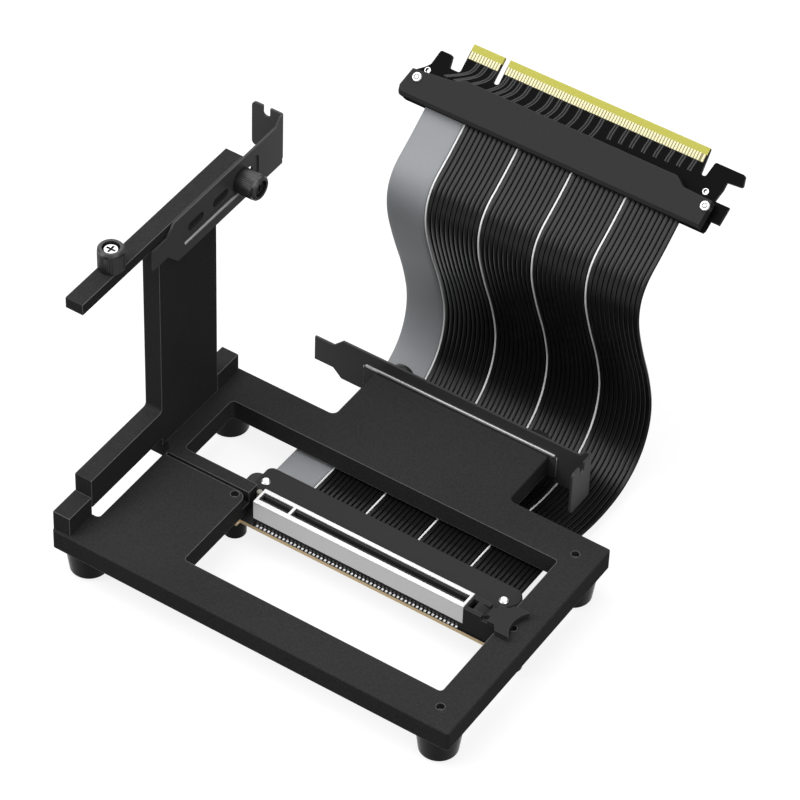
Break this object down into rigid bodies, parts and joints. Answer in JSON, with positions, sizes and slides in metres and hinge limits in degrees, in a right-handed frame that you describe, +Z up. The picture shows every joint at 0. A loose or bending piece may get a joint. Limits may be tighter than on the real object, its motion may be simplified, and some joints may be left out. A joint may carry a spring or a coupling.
{
  "type": "vertical graphics card mount",
  "caption": "Low stand with a cast base and upright that carries a riser slot, adjustable slot covers and a flat cable to a card-edge plug.",
  "frame": {"origin": "on the floor, under the middle of the mount without its cables and plug", "axes": "+X along the slot to the latch, +Y to the back where the cables leave, +Z up"},
  "size_m": [0.1724, 0.1937, 0.1362],
  "materials": {
    "casting": "fine black textured powder coat",
    "cover_sheet": "satin black paint on thin steel",
    "screw_steel": "plain bright steel",
    "shield_steel": "bright rolled steel",
    "rubber": "dull black rubber",
    "black_plastic": "moulded black plastic",
    "cap_plastic": "knurled black caps",
    "board": "black lacquered circuit board",
    "tin": "tinned leads",
    "peg_plastic": "pale moulded plastic",
    "grey_shield": "grey shielding wrap",
    "cable_black": "ribbed black cable jacket"
  },
  "bodies": {
    "mount": {"base_frame": "casting", "upright": "casting", "upright_screws": "screw_steel", "foot_screws": "screw_steel", "riser_board": "board", "riser_spacers": "rubber", "riser_screws": "screw_steel", "slot_shield": "shield_steel", "slot_housing": "black_plastic", "slot_contacts": "tin", "locator_peg": "peg_plastic", "riser_cover_top": "black_plastic", "riser_cover_bottom": "black_plastic", "riser_cover_screws": "screw_steel", "cable_shielded_band": "grey_shield", "plug_board": "board", "plug_cover_front": "black_plastic", "plug_cover_back": "black_plastic", "plug_rivets": "screw_steel", "foot_front_left": "rubber", "foot_front_right": "rubber", "foot_back_left": "rubber", "foot_back_right": "rubber", "cable_bundle_1": "cable_black", "cable_bundle_2": "cable_black", "cable_bundle_3": "cable_black", "cable_bundle_4": "cable_black"},
    "upper_cover": {"upper_slot_cover": "cover_sheet"},
    "lower_cover": {"lower_slot_cover": "cover_sheet"},
    "latch": {"slot_latch": "black_plastic"},
    "thumb_bar": {"thumb_cap_bar": "cap_plastic", "thumb_core_bar": "screw_steel"},
    "thumb_upper": {"thumb_cap_upper": "cap_plastic", "thumb_core_upper": "screw_steel"},
    "thumb_lower_left": {"thumb_cap_lower_left": "cap_plastic", "thumb_core_lower_left": "screw_steel"},
    "thumb_lower_right": {"thumb_cap_lower_right": "cap_plastic", "thumb_core_lower_right": "screw_steel"}
  },
  "joints": [
    {"name": "upper_cover_slide", "type": "slide", "parent": "mount", "child": "upper_cover", "axis": [0, 1, 0], "range_m": [-0.0056, 0]},
    {"name": "lower_cover_slide", "type": "slide", "parent": "mount", "child": "lower_cover", "axis": [1, 0, 0], "range_m": [-0.0027, 0.0027]},
    {"name": "latch_turn", "type": "hinge", "parent": "mount", "child": "latch", "pos_m": [0.06725, -0.01685, 0.019], "axis": [0, -1, 0], "range_deg": [0, 25]},
    {"name": "thumb_bar_turn", "type": "hinge", "parent": "mount", "child": "thumb_bar", "pos_m": [-0.07765, -0.03645, 0.1239], "axis": [0, 0, 1], "continuous": true},
    {"name": "thumb_upper_turn", "type": "hinge", "parent": "mount", "child": "thumb_upper", "pos_m": [-0.07315, 0.03355, 0.1153], "axis": [1, 0, 0], "continuous": true},
    {"name": "thumb_lower_left_turn", "type": "hinge", "parent": "mount", "child": "thumb_lower_left", "pos_m": [-0.02525, 0.06195, 0.0173], "axis": [0, 1, 0], "continuous": true},
    {"name": "thumb_lower_right_turn", "type": "hinge", "parent": "mount", "child": "thumb_lower_right", "pos_m": [0.03475, 0.06195, 0.0173], "axis": [0, 1, 0], "continuous": true}
  ]
}
